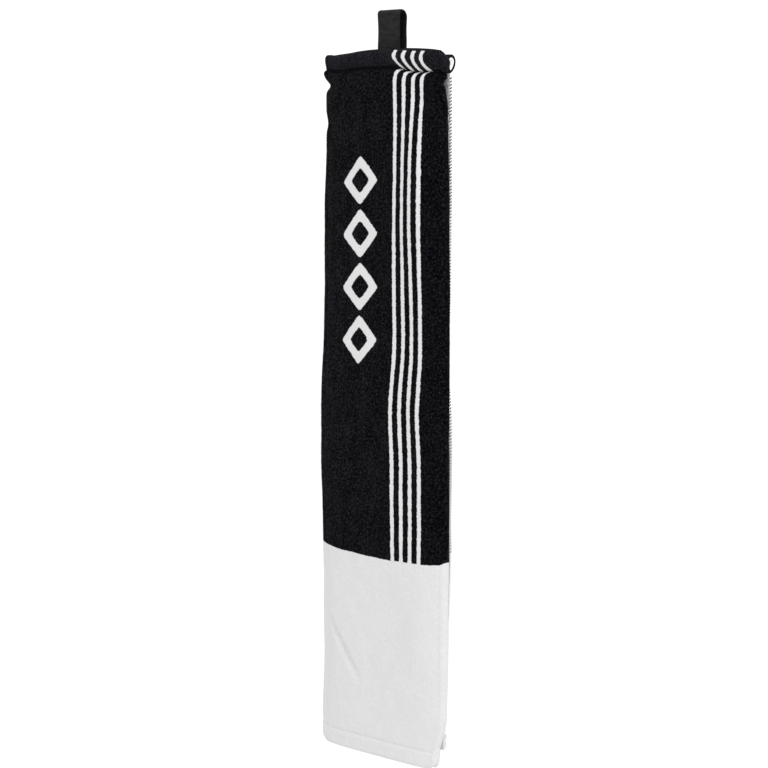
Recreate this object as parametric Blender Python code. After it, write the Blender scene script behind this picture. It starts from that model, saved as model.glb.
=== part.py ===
"""Trifold golf towel, hanging folded from its webbing loop.

The towel is one terry cloth, 406 mm wide and 610 mm long, folded in three like a letter:
the right third goes behind the centre third, and the left third goes behind both.
A webbing loop is sewn to the middle of the top hem.

Metres. +Z up, the front of the folded towel looks along -Y, its right side is +X.
The origin is the inside of the loop's top, where a hook or ring bears, at the middle of
the folded towel's width.
"""

import math

import bmesh
import bpy

# Cloth
CLOTH_THICKNESS = 0.003
TOWEL_LENGTH = 0.610
CENTRE_WIDTH = 0.124
INNER_FLAP_WIDTH = 0.1238
OUTER_FLAP_WIDTH = 0.1255
INNER_FOLD_RADIUS = 0.0035
OUTER_FOLD_RADIUS = 0.007
FRONT_BULGE = 0.003
HEM_BOW = 0.007
BOW_FADE_LENGTH = 0.120
EDGE_WIDTH = 0.0013

# Hems
TOP_HEM_HEIGHT = 0.017
BOTTOM_HEM_HEIGHT = 0.015
SEAM_THICKNESS = 0.0040
BOTTOM_HEM_THICKNESS = 0.0050

# The centre layer's middle, at the folds, lies this far in front of the hang point
CENTRE_Y = -0.006

# Webbing loop
WEBBING_WIDTH = 0.025
WEBBING_THICKNESS = 0.0013
LOOP_HEIGHT = 0.034
LOOP_SPACING = 0.0092
LOOP_CORNER_RADIUS = 0.003
LOOP_OFFSET_X = 0.005
SWING_AXIS_RISE = 0.005
NECK_HEIGHT = 0.009
NECK_DRAW = 0.0010
TAIL_LENGTH = 0.0145
TAIL_TOP_DROP = 0.0001
BACK_TAIL_REACH = 0.0085

# Sewing thread, bar tack and care label
THREAD = 0.0006
THREAD_HEIGHT = 0.0009
THREAD_END_INSET = 0.001
THREAD_TO_SEAM = 0.0005
TACK_INSET = 0.002
TACK_RISE = 0.001
TACK_HEIGHT = 0.002
LABEL_WIDTH = 0.030
LABEL_HEIGHT = 0.040
LABEL_THICKNESS = 0.0004
LABEL_INSET = 0.008
LABEL_RISE = 0.060
LABEL_STITCH_DROP = 0.0026

# Each fold's axis stands this far beyond the straight cloth
OUTER_AXIS_SET_OUT = 0.004
INNER_AXIS_SET_OUT = 0.002

# Clearance between neighbouring solids
GAP = 0.0003

# How finely the curved shapes are divided, and the angle above which an edge stays sharp
WIDTH_STEPS = 12
BOW_STEPS = 4
BEND_STEPS = 12
ROLL_SIDE_STEPS = 3
ROLL_TURN_STEPS = 8
CORNER_STEPS = 5
NECK_STEPS = 4
TAIL_STEPS = 8
SHARP_ANGLE = 35

# Places that follow from the sizes above
HALF_WIDTH = CENTRE_WIDTH / 2
TOP_Z = -LOOP_HEIGHT
CREASE_Z = TOP_Z - TOP_HEM_HEIGHT
BOTTOM_Z = TOP_Z - TOWEL_LENGTH
BOTTOM_CREASE_Z = BOTTOM_Z + BOTTOM_HEM_HEIGHT
INNER_Y = CENTRE_Y + 2 * INNER_FOLD_RADIUS
OUTER_Y = CENTRE_Y + 2 * OUTER_FOLD_RADIUS
INNER_EDGE_X = HALF_WIDTH - INNER_FLAP_WIDTH
OUTER_EDGE_X = -HALF_WIDTH + OUTER_FLAP_WIDTH
PANEL_TOP_Z = CREASE_Z - GAP / 2
PANEL_BOTTOM_Z = BOTTOM_CREASE_Z + GAP / 2
FRONT_LEG_Y = -LOOP_SPACING / 2
BACK_LEG_Y = LOOP_SPACING / 2
LOOP_END_Z = TOP_Z + GAP
NECK_Z = TOP_Z + NECK_HEIGHT
TAIL_TOP_Z = TOP_Z - TAIL_TOP_DROP
TAIL_END_Z = TOP_Z - TAIL_LENGTH

# How far each top hem's roll stands in front of and behind its layer's middle
CENTRE_HEM_FRONT, CENTRE_HEM_BACK = 0.0050, 0.0032
INNER_HEM_FRONT, INNER_HEM_BACK = 0.0033, 0.0033
OUTER_HEM_FRONT, OUTER_HEM_BACK = 0.0032, 0.0053


def clear_scene():
    for thing in list(bpy.data.objects):
        bpy.data.objects.remove(thing)


def make_material(name, colour, roughness):
    material = bpy.data.materials.new(name)
    material.use_nodes = True
    shader = material.node_tree.nodes["Principled BSDF"]
    shader.inputs["Base Color"].default_value = (*colour, 1.0)
    shader.inputs["Roughness"].default_value = roughness
    shader.inputs["Metallic"].default_value = 0.0
    return material


def add_object(name, mesh_maker, material, parent):
    """One closed solid as a named object under its body's empty."""
    bm = bmesh.new()
    mesh_maker(bm)
    bmesh.ops.recalc_face_normals(bm, faces=bm.faces)
    mesh = bpy.data.meshes.new(name)
    bm.to_mesh(mesh)
    bm.free()
    mesh.materials.append(material)
    mesh.shade_smooth()
    mesh.set_sharp_from_angle(angle=math.radians(SHARP_ANGLE))
    thing = bpy.data.objects.new(name, mesh)
    bpy.context.scene.collection.objects.link(thing)
    thing.parent = parent
    thing.matrix_parent_inverse = parent.matrix_basis.inverted()
    return thing


def add_joint_empty(name, location):
    """An empty on the joint's axis, which carries the pieces of the body that turns."""
    empty = bpy.data.objects.new(name, None)
    empty.location = location
    empty.hide_render = True
    bpy.context.scene.collection.objects.link(empty)
    return empty


def spaced(low, high, steps):
    return [low + (high - low) * i / steps for i in range(steps + 1)]


def bow(x):
    """1 at the middle of the folded towel and 0 at its folds."""
    return max(0.0, 1.0 - (x / HALF_WIDTH) ** 2)


def fade(z):
    """1 at the top hem, falling to 0 a little way down the cloth."""
    return min(1.0, max(0.0, 1.0 - (CREASE_Z - z) / BOW_FADE_LENGTH))


def centre_middle(x, z):
    return CENTRE_Y - FRONT_BULGE * bow(x)


def inner_middle(x, z):
    return INNER_Y + HEM_BOW * bow(x) * fade(z)


def outer_middle(x, z):
    return OUTER_Y + HEM_BOW * bow(x) * fade(z)


def shifted(middle, distance):
    return lambda x, z: middle(x, z) + distance


def loft(bm, rings):
    """A closed solid through rings of points, with a flat cap at each end."""
    made = [[bm.verts.new(point) for point in ring] for ring in rings]
    count = len(made[0])
    for low, high in zip(made, made[1:]):
        for i in range(count):
            j = (i + 1) % count
            bm.faces.new((low[i], low[j], high[j], high[i]))
    bm.faces.new(made[0][::-1])
    bm.faces.new(made[-1])


def cloth_slab(xs, zs, middle, thickness):
    """A sheet of cloth of even thickness, whose middle surface is y = middle(x, z)."""
    half = thickness / 2

    def build(bm):
        front = [[bm.verts.new((x, middle(x, z) - half, z)) for z in zs] for x in xs]
        back = [[bm.verts.new((x, middle(x, z) + half, z)) for z in zs] for x in xs]
        last_x = len(xs) - 1
        last_z = len(zs) - 1
        for i in range(last_x):
            for j in range(last_z):
                for side in (front, back):
                    corners = (side[i][j], side[i + 1][j], side[i + 1][j + 1], side[i][j + 1])
                    bm.faces.new(corners)
        for i in (0, last_x):
            for j in range(last_z):
                bm.faces.new((front[i][j], front[i][j + 1], back[i][j + 1], back[i][j]))
        for j in (0, last_z):
            for i in range(last_x):
                bm.faces.new((front[i][j], front[i + 1][j], back[i + 1][j], back[i][j]))

    return build


def roll_section(front, back, low, high, seam):
    """A hem's roll in section: rounded at one end and drawn in to the seam at the other."""
    radius = (front + back) / 2
    offset = (back - front) / 2
    up = 1 if high > low else -1
    centre = high - up * radius
    points = []
    shares = [k / ROLL_SIDE_STEPS for k in range(ROLL_SIDE_STEPS)]
    for share in shares:
        ease = math.sin(share * math.pi / 2)
        points.append((-seam / 2 + ease * (seam / 2 - front), low + share * (centre - low)))
    for turn in spaced(math.pi, 0.0, ROLL_TURN_STEPS):
        points.append((offset + radius * math.cos(turn), centre + up * radius * math.sin(turn)))
    for share in reversed(shares):
        ease = math.sin(share * math.pi / 2)
        points.append((seam / 2 + ease * (back - seam / 2), low + share * (centre - low)))
    return points


def hem_roll(xs, middle, section):
    def build(bm):
        rings = [[(x, middle(x, z) + y, z) for y, z in section] for x in xs]
        loft(bm, rings)

    return build


def fold_bend(side, radius):
    """The bend of a fold, a half ring in plan, over the towel's whole length."""
    start_x = side * (HALF_WIDTH + GAP / 2)
    middle_y = CENTRE_Y + radius

    def arc(r):
        turns = spaced(0.0, math.pi, BEND_STEPS)
        return [(start_x + side * r * math.sin(t), middle_y - r * math.cos(t)) for t in turns]

    outline = arc(radius + CLOTH_THICKNESS / 2) + arc(radius - CLOTH_THICKNESS / 2)[::-1]

    def build(bm):
        loft(bm, [[(x, y, z) for x, y in outline] for z in (BOTTOM_Z, TOP_Z)])

    return build


def strap(path):
    """Webbing of even thickness along a path of (y, z) points, as wide as the webbing."""
    half = WEBBING_THICKNESS / 2
    near, far = [], []
    for i, (y, z) in enumerate(path):
        y0, z0 = path[max(i - 1, 0)]
        y1, z1 = path[min(i + 1, len(path) - 1)]
        run = math.hypot(y1 - y0, z1 - z0)
        side_y, side_z = (z1 - z0) / run, -(y1 - y0) / run
        near.append((y - half * side_y, z - half * side_z))
        far.append((y + half * side_y, z + half * side_z))
    outline = near + far[::-1]

    def build(bm):
        ends = (LOOP_OFFSET_X - WEBBING_WIDTH / 2, LOOP_OFFSET_X + WEBBING_WIDTH / 2)
        loft(bm, [[(x, y, z) for y, z in outline] for x in ends])

    return build


def back_leg_y(z):
    """The back leg draws in towards the hem over the loop's lowest few millimetres."""
    share = min(1.0, max(0.0, (NECK_Z - z) / (NECK_Z - LOOP_END_Z)))
    return BACK_LEG_Y - NECK_DRAW * share**2


def loop_path():
    """Up the front leg, over the flat top with its two round corners, and down the back."""
    top = WEBBING_THICKNESS / 2
    radius = LOOP_CORNER_RADIUS
    turns = spaced(0.0, math.pi / 2, CORNER_STEPS)
    path = [(FRONT_LEG_Y, LOOP_END_Z), (FRONT_LEG_Y, (LOOP_END_Z + top) / 2)]
    for t in turns:
        path.append((FRONT_LEG_Y + radius * (1 - math.cos(t)), top - radius * (1 - math.sin(t))))
    for t in turns:
        path.append((BACK_LEG_Y - radius * (1 - math.sin(t)), top - radius * (1 - math.cos(t))))
    path.append((BACK_LEG_Y, (NECK_Z + top) / 2))
    for z in spaced(NECK_Z, LOOP_END_Z, NECK_STEPS):
        path.append((back_leg_y(z), z))
    return path


def back_tail_path():
    """From the back leg's foot in to the hem, then flat behind the front tail."""
    start_y = back_leg_y(LOOP_END_Z)
    flat_y = FRONT_LEG_Y + WEBBING_THICKNESS + GAP
    path = []
    for share in spaced(0.0, 1.0, TAIL_STEPS):
        ease = math.sin(math.pi / 2 * share)
        path.append((start_y + (flat_y - start_y) * ease, TAIL_TOP_Z - BACK_TAIL_REACH * share))
    path.append((flat_y, TAIL_END_Z))
    return path


clear_scene()

velour = make_material("black_velour", (0.012, 0.013, 0.016), 0.95)
white_terry = make_material("white_terry", (0.78, 0.78, 0.79), 0.95)
webbing = make_material("black_webbing", (0.016, 0.016, 0.018), 0.75)
dark_thread = make_material("black_thread", (0.02, 0.02, 0.022), 0.7)
white_thread = make_material("white_thread", (0.8, 0.8, 0.8), 0.7)
label_satin = make_material("label_satin", (0.75, 0.75, 0.73), 0.5)

# Joint places. Each flap turns about a vertical axis inside its bend, level with the
# bend's centre.
swing_axis = (0.0, 0.0, TOP_Z + SWING_AXIS_RISE)
outer_axis = (-HALF_WIDTH - OUTER_AXIS_SET_OUT, CENTRE_Y + OUTER_FOLD_RADIUS, CREASE_Z)
inner_axis = (HALF_WIDTH + INNER_AXIS_SET_OUT, CENTRE_Y + INNER_FOLD_RADIUS, CREASE_Z)
loop_body = add_joint_empty("loop_body", (0.0, 0.0, 0.0))
centre_body = add_joint_empty("centre_body", swing_axis)
outer_body = add_joint_empty("outer_flap_body", outer_axis)
inner_body = add_joint_empty("inner_flap_body", inner_axis)

# Webbing loop with its two sewn tails
add_object("hanging_loop", strap(loop_path()), webbing, loop_body)
front_tail = [(FRONT_LEG_Y, TAIL_TOP_Z), (FRONT_LEG_Y, TAIL_END_Z)]
add_object("loop_front_tail", strap(front_tail), webbing, centre_body)
add_object("loop_back_tail", strap(back_tail_path()), webbing, centre_body)
tack_y = FRONT_LEG_Y + WEBBING_THICKNESS * 1.5 + GAP * 2 + THREAD / 2
tack_half = WEBBING_WIDTH / 2 - TACK_INSET
tack_xs = spaced(LOOP_OFFSET_X - tack_half, LOOP_OFFSET_X + tack_half, 2)
tack_zs = [TAIL_END_Z + TACK_RISE, TAIL_END_Z + TACK_RISE + TACK_HEIGHT]
bar_tack = cloth_slab(tack_xs, tack_zs, lambda x, z: tack_y, THREAD)
add_object("loop_bar_tack", bar_tack, dark_thread, centre_body)

# The three layers: panel, top hem roll, bottom hem, and the thread of both hem seams
full_width = (-HALF_WIDTH + GAP / 2, HALF_WIDTH - GAP / 2)
layers = (
    {
        "name": "centre",
        "body": centre_body,
        "middle": centre_middle,
        "span": full_width,
        "panel_span": full_width,
        "roll": (CENTRE_HEM_FRONT, CENTRE_HEM_BACK),
        "thread_side": -1,
    },
    {
        "name": "inner_flap",
        "body": inner_body,
        "middle": inner_middle,
        "span": (INNER_EDGE_X, full_width[1]),
        "panel_span": (INNER_EDGE_X + EDGE_WIDTH + GAP, full_width[1]),
        "roll": (INNER_HEM_FRONT, INNER_HEM_BACK),
        "thread_side": 1,
    },
    {
        "name": "outer_flap",
        "body": outer_body,
        "middle": outer_middle,
        "span": (full_width[0], OUTER_EDGE_X),
        "panel_span": (full_width[0], OUTER_EDGE_X - EDGE_WIDTH - GAP),
        "roll": (OUTER_HEM_FRONT, OUTER_HEM_BACK),
        "thread_side": 1,
    },
)
panel_zs = spaced(PANEL_BOTTOM_Z, CREASE_Z - BOW_FADE_LENGTH, 2)
panel_zs += spaced(CREASE_Z - BOW_FADE_LENGTH, PANEL_TOP_Z, BOW_STEPS)[1:]
for layer in layers:
    name, body, middle = layer["name"], layer["body"], layer["middle"]
    panel_left, panel_right = layer["panel_span"]
    panel_xs = spaced(panel_left, panel_right, WIDTH_STEPS)
    hem_xs = spaced(*layer["span"], WIDTH_STEPS)
    thread_xs = spaced(panel_left + THREAD_END_INSET, panel_right - THREAD_END_INSET, WIDTH_STEPS)
    panel = cloth_slab(panel_xs, panel_zs, middle, CLOTH_THICKNESS)
    add_object(name + "_panel", panel, velour, body)
    section = roll_section(*layer["roll"], CREASE_Z + GAP / 2, TOP_Z, SEAM_THICKNESS)
    add_object(name + "_top_hem", hem_roll(hem_xs, middle, section), velour, body)
    half_hem = BOTTOM_HEM_THICKNESS / 2
    section = roll_section(half_hem, half_hem, BOTTOM_CREASE_Z - GAP / 2, BOTTOM_Z, CLOTH_THICKNESS)
    add_object(name + "_bottom_hem", hem_roll(hem_xs, middle, section), white_terry, body)
    thread_middle = shifted(middle, layer["thread_side"] * (CLOTH_THICKNESS / 2 + GAP + THREAD / 2))
    seam_high = PANEL_TOP_Z - THREAD_TO_SEAM
    seam_zs = [seam_high - THREAD_HEIGHT, seam_high]
    seam = cloth_slab(thread_xs, seam_zs, thread_middle, THREAD)
    add_object(name + "_top_hem_stitch", seam, dark_thread, body)
    seam_low = PANEL_BOTTOM_Z + THREAD_TO_SEAM
    seam_zs = [seam_low, seam_low + THREAD_HEIGHT]
    seam = cloth_slab(thread_xs, seam_zs, thread_middle, THREAD)
    add_object(name + "_bottom_hem_stitch", seam, white_thread, body)

# The two bends that join the layers
add_object("left_fold", fold_bend(-1, OUTER_FOLD_RADIUS), velour, centre_body)
add_object("right_fold", fold_bend(1, INNER_FOLD_RADIUS), velour, centre_body)

# Overcast selvedges on the two free edges
edge_xs = [INNER_EDGE_X, INNER_EDGE_X + EDGE_WIDTH]
selvedge = cloth_slab(edge_xs, panel_zs, inner_middle, CLOTH_THICKNESS)
add_object("inner_flap_selvedge", selvedge, velour, inner_body)
edge_xs = [OUTER_EDGE_X - EDGE_WIDTH, OUTER_EDGE_X]
selvedge = cloth_slab(edge_xs, panel_zs, outer_middle, CLOTH_THICKNESS)
add_object("outer_flap_selvedge", selvedge, velour, outer_body)

# Blank care label on the hidden side of the inner flap, held by one row of stitches
label_left = INNER_EDGE_X + LABEL_INSET
label_low = BOTTOM_CREASE_Z + LABEL_RISE
label_y = INNER_Y - CLOTH_THICKNESS / 2 - GAP - LABEL_THICKNESS / 2
label_xs = spaced(label_left, label_left + LABEL_WIDTH, 2)
label_zs = spaced(label_low, label_low + LABEL_HEIGHT, 2)
label = cloth_slab(label_xs, label_zs, lambda x, z: label_y, LABEL_THICKNESS)
add_object("care_label", label, label_satin, inner_body)
stitch_y = label_y - LABEL_THICKNESS / 2 - GAP - THREAD / 2
stitch_xs = spaced(label_left + THREAD_END_INSET, label_left + LABEL_WIDTH - THREAD_END_INSET, 2)
stitch_high = label_low + LABEL_HEIGHT - LABEL_STITCH_DROP
stitch_zs = [stitch_high - THREAD_HEIGHT, stitch_high]
stitch = cloth_slab(stitch_xs, stitch_zs, lambda x, z: stitch_y, THREAD)
add_object("care_label_stitch", stitch, white_thread, inner_body)
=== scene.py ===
import math

import bpy
import numpy as np
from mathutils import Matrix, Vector


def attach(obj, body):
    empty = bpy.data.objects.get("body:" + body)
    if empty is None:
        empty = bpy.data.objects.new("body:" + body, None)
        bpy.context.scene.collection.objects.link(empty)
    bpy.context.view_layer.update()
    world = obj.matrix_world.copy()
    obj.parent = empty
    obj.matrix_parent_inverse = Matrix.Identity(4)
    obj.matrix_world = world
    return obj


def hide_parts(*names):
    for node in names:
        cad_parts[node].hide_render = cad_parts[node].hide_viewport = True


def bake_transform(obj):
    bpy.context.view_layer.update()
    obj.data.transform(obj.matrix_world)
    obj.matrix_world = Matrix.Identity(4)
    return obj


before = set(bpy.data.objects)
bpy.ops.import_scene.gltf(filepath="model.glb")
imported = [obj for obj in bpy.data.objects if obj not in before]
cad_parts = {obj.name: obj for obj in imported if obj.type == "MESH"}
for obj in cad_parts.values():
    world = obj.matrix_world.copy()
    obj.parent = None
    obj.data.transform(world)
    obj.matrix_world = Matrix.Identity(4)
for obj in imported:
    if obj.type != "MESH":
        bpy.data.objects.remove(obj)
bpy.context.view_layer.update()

# Lengths in this file are millimetres until they become a mesh. The row frame is the CAD's:
# +Z up, the towel's front looks along -Y, the origin is the inside of the loop's top.
MM = 0.001

# Folded towel
TOP_Z = -34.0
BOTTOM_Z = -644.0
TOWEL_LENGTH = TOP_Z - BOTTOM_Z
HALF_WIDTH = 62.0
CENTRE_Y = -6.0
LEFT_RADIUS = 7.0
RIGHT_RADIUS = 3.5
OUTER_Y = CENTRE_Y + 2 * LEFT_RADIUS
INNER_Y = CENTRE_Y + 2 * RIGHT_RADIUS
OUTER_EDGE_X = 63.5
INNER_EDGE_X = -61.8
HALF_CLOTH = 1.5

# Hems, as distances down the cloth from its top edge
CREASE_V = 17.0
BOTTOM_SEAM_V = 595.0
BORDER_V = 435.0

# Flat distances across the cloth, from the outer flap's free edge
LEFT_BEND_S = OUTER_EDGE_X + HALF_WIDTH
CENTRE_S = LEFT_BEND_S + math.pi * LEFT_RADIUS
RIGHT_BEND_S = CENTRE_S + 2 * HALF_WIDTH
INNER_S = RIGHT_BEND_S + math.pi * RIGHT_RADIUS
END_S = INNER_S + HALF_WIDTH - INNER_EDGE_X

# Mesh spacing: the flat cloth's, the bends' steps, and the finer steps at a free edge
GRID = 1.6
LEFT_BEND_STEPS, RIGHT_BEND_STEPS = 24, 18
EDGE_STEPS, EDGE_END = (0.0, 0.5, 1.2), 2.2

# How far into the flat cloth each bend's shape reaches
LEFT_REACH, RIGHT_REACH, BEHIND_REACH, CORNER_REACH = 18, 16, 45, 45
# Turns round each bend, from the front, between which its hidden part takes over
LEFT_HIDDEN, RIGHT_HIDDEN = (1.0, 2.3), (2.3, 3.1)

# Random hills repeat after this many cells, and are read well away from cell 0
HILLS, HILLS_SHIFT = (97, 89), (500.3, 500.7)


# ---- small helpers
def smooth(low, high, value):
    """0 below low and 1 above high, rising smoothly between."""
    t = np.clip((np.asarray(value, float) - low) / (high - low), 0, 1)
    return t * t * (3 - 2 * t)


def hump(value, centre, width):
    """1 at the centre, falling off like a bell."""
    return np.exp(-(((np.asarray(value, float) - centre) / width) ** 2))


def noise(u, v, cell_u, cell_v, seed):
    """Smooth random hills between -1 and 1, one per cell."""
    lattice = np.random.default_rng(seed).uniform(-1, 1, HILLS)
    place_u = np.asarray(u, float) / cell_u + HILLS_SHIFT[0]
    place_v = np.asarray(v, float) / cell_v + HILLS_SHIFT[1]
    i, j = np.floor(place_u).astype(int), np.floor(place_v).astype(int)
    part_u, part_v = smooth(0, 1, place_u - i), smooth(0, 1, place_v - j)

    def at(right, up):
        return lattice[(i + right) % HILLS[0], (j + up) % HILLS[1]]

    low = at(0, 0) * (1 - part_u) + at(1, 0) * part_u
    high = at(0, 1) * (1 - part_u) + at(1, 1) * part_u
    return low * (1 - part_v) + high * part_v


def curve_through(pairs, value, soften):
    """A line through (place, size) pairs, its corners rounded over about soften either way."""
    places, sizes = zip(*pairs)
    steps = np.linspace(-2, 2, 9) * soften / 2
    weights = np.exp(-((steps / soften) ** 2))
    value = np.asarray(value, float)
    total = sum(w * np.interp(value + step, places, sizes) for w, step in zip(weights, steps))
    return total / weights.sum()


def unit(directions):
    return directions / np.linalg.norm(directions, axis=1, keepdims=True)


def wall_faces(count, size):
    """Faces between rings of points, each ring joined to the one after it."""
    faces = []
    for here in range(0, (count - 1) * size, size):
        for k in range(size):
            after = (k + 1) % size
            faces.append((here + k, here + after, here + size + after, here + size + k))
    return faces


# ---- the folded cloth
def spaced(low, high, step):
    return np.linspace(low, high, max(2, int(round(abs(high - low) / step)) + 1))


def make_columns():
    """Places across the cloth: flat distance, plan point, face direction and layer."""
    rows = []

    def flat(xs, y, facing, layer):
        for x in xs:
            if layer == "outer":
                s = OUTER_EDGE_X - x
            elif layer == "centre":
                s = CENTRE_S + x + HALF_WIDTH
            else:
                s = INNER_S + HALF_WIDTH - x
            rows.append((s, x, y, 0.0, facing, layer))

    def bend(side, radius, s_start, turns, layer):
        middle_y = CENTRE_Y + radius
        for turn in turns:
            angle = math.pi / 2 + turn if side < 0 else -math.pi / 2 + turn
            across, back = math.cos(angle), math.sin(angle)
            point = (side * HALF_WIDTH + radius * across, middle_y + radius * back)
            rows.append((s_start + radius * turn, *point, across, back, layer))

    flat([OUTER_EDGE_X - d for d in EDGE_STEPS], OUTER_Y, 1.0, "outer")
    flat(spaced(OUTER_EDGE_X - EDGE_END, -HALF_WIDTH, GRID), OUTER_Y, 1.0, "outer")
    splits = [len(rows) - 1]
    turns = np.linspace(0, math.pi, LEFT_BEND_STEPS + 1)[1:]
    bend(-1, LEFT_RADIUS, LEFT_BEND_S, turns, "left")
    splits.append(len(rows) - 1)
    flat(spaced(-HALF_WIDTH, HALF_WIDTH, GRID)[1:], CENTRE_Y, -1.0, "centre")
    splits.append(len(rows) - 1)
    turns = np.linspace(0, math.pi, RIGHT_BEND_STEPS + 1)[1:]
    bend(1, RIGHT_RADIUS, RIGHT_BEND_S, turns, "right")
    splits.append(len(rows) - 1)
    flat(spaced(HALF_WIDTH, INNER_EDGE_X + EDGE_END, GRID)[1:], INNER_Y, 1.0, "inner")
    flat([INNER_EDGE_X + d for d in reversed(EDGE_STEPS)], INNER_Y, 1.0, "inner")
    return rows, splits


def make_rows():
    """Distances down the cloth, closer together at the hems."""
    top = [0, 0.12, 0.45, 0.9, 1.5, 2.2, 3.0, 3.9, 4.9, 6.0, 7.2, 8.4, 9.6, 10.8, 12, 13]
    top += [13.8, 14.5, 15.1, 15.6, 16.1, 16.5, 16.8, 17.0, 17.2, 17.5, 17.9, 18.5, 19.2]
    top += [20.1, 21.2, 22.5]
    bottom = [592.0, 593.2, 594.0, 594.6, 595.0, 595.4, 596.0, 597.0, 598.2, 599.6, 601.0]
    bottom += [602.4, 603.8, 605.2, 606.4, 607.4, 608.2, 608.9, 609.4, 609.75, 609.95, 610.0]
    return np.array(top + list(spaced(22.5, 592.0, GRID)[1:-1]) + bottom)


COLUMNS, SPLITS = make_columns()
V = make_rows()
LAYER = np.array([column[-1] for column in COLUMNS])
PLACES = np.array([column[:-1] for column in COLUMNS])
S, PLAN, FACING = PLACES[:, 0], PLACES[:, 1:3], PLACES[:, 3:5]
X = np.clip(PLAN[:, 0], -HALF_WIDTH, HALF_WIDTH)
IN_LEFT, IN_RIGHT = LAYER == "left", LAYER == "right"
IN_CENTRE, IN_OUTER, IN_INNER = LAYER == "centre", LAYER == "outer", LAYER == "inner"
# 1 at the outermost line of each bend, 0 where the bend meets the flat cloth
LEFT_TURN = np.where(IN_LEFT, np.sin((S - LEFT_BEND_S) / LEFT_RADIUS), 0.0)
RIGHT_TURN = np.where(IN_RIGHT, np.sin((S - RIGHT_BEND_S) / RIGHT_RADIUS), 0.0)
ON_LEFT_SIDE = IN_LEFT | IN_CENTRE | IN_OUTER
ON_RIGHT_SIDE = IN_RIGHT | IN_CENTRE | IN_INNER
# 1 on each bend, falling to 0 a little way into the layers beside it
NEAR_LEFT = np.where(ON_LEFT_SIDE, 1 - smooth(0, LEFT_REACH, HALF_WIDTH + X), 0.0)
NEAR_RIGHT = np.where(ON_RIGHT_SIDE, 1 - smooth(0, RIGHT_REACH, HALF_WIDTH - X), 0.0)
NEAR_CORNER = np.where(ON_RIGHT_SIDE, 1 - smooth(0, CORNER_REACH, HALF_WIDTH - X), 0.0)
# 0 at the towel's left side and 1 at its right
ACROSS = (X + HALF_WIDTH) / (2 * HALF_WIDTH)
# 1 on the hidden half of each bend and on the flap beside it
ROUND_LEFT = math.pi - (S - LEFT_BEND_S) / LEFT_RADIUS
ROUND_RIGHT = (S - RIGHT_BEND_S) / RIGHT_RADIUS
HIDDEN_LEFT = np.where(IN_LEFT, smooth(*LEFT_HIDDEN, ROUND_LEFT), 0.0)
HIDDEN_LEFT = np.where(IN_OUTER, 1 - smooth(0, BEHIND_REACH, HALF_WIDTH + X), HIDDEN_LEFT)
HIDDEN_RIGHT = np.where(IN_RIGHT, smooth(*RIGHT_HIDDEN, ROUND_RIGHT), 0.0)
HIDDEN_RIGHT = np.where(IN_INNER, 1 - smooth(0, BEHIND_REACH, HALF_WIDTH - X), HIDDEN_RIGHT)


def by_layer(outer, left, centre, right, inner):
    """Each column's value, by the layer of cloth that it is in."""
    layers = [IN_OUTER, IN_LEFT, IN_CENTRE, IN_RIGHT, IN_INNER]
    return np.select(layers, [outer, left, centre, right, inner])


def top_line():
    """Height of the cloth's top edge at each column."""
    ends, front_crown, back_crown = TOP_Z - 0.9, 2.6, 4.2
    left_rise, right_drop, outer_droop = 0.2, 2.4, 3.4
    side = np.abs(X) / HALF_WIDTH
    sag = 1.4 * hump(X, -48, 16) * smooth(-HALF_WIDTH, -54, X)
    centre = ends + front_crown * (1 - side**2) ** 2 - sag
    inner = ends + back_crown * (1 - side**1.7)
    left, right = ends + left_rise * LEFT_TURN, ends - right_drop * RIGHT_TURN
    return by_layer(ends - outer_droop * ACROSS**1.5, left, centre, right, inner)


def bottom_line():
    """Height of the cloth's bottom edge: the towel hangs aslant, lowest at its right fold."""
    half_slant, crown = 4.0, 0.2
    left_lift, right_lift, outer_lift = 5.0, 4.0, 7.0
    high, low = BOTTOM_Z + half_slant, BOTTOM_Z - half_slant
    side = np.abs(X) / HALF_WIDTH
    centre = high - 2 * half_slant * ACROSS + crown * (1 - side**2)
    inner = low + 2 * half_slant * (1 - ACROSS)
    left, right = high + left_lift * LEFT_TURN, low + right_lift * RIGHT_TURN
    return by_layer(high + outer_lift * ACROSS, left, centre, right, inner)


def crease_depth():
    """How far below the top edge the hem's seam lies: less at the left, more at the right."""
    usual = 16.0
    right_side = usual - 0.6 * smooth(-10, 12, X)
    right_drop = 3.4 * smooth(12, 38, X) - 0.7 * smooth(42, 56, X)
    left_rise = 3.2 * (1 - smooth(-70, 15, X)) * ON_LEFT_SIDE
    return np.where(ON_RIGHT_SIDE, right_side + right_drop, usual) - left_rise


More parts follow.
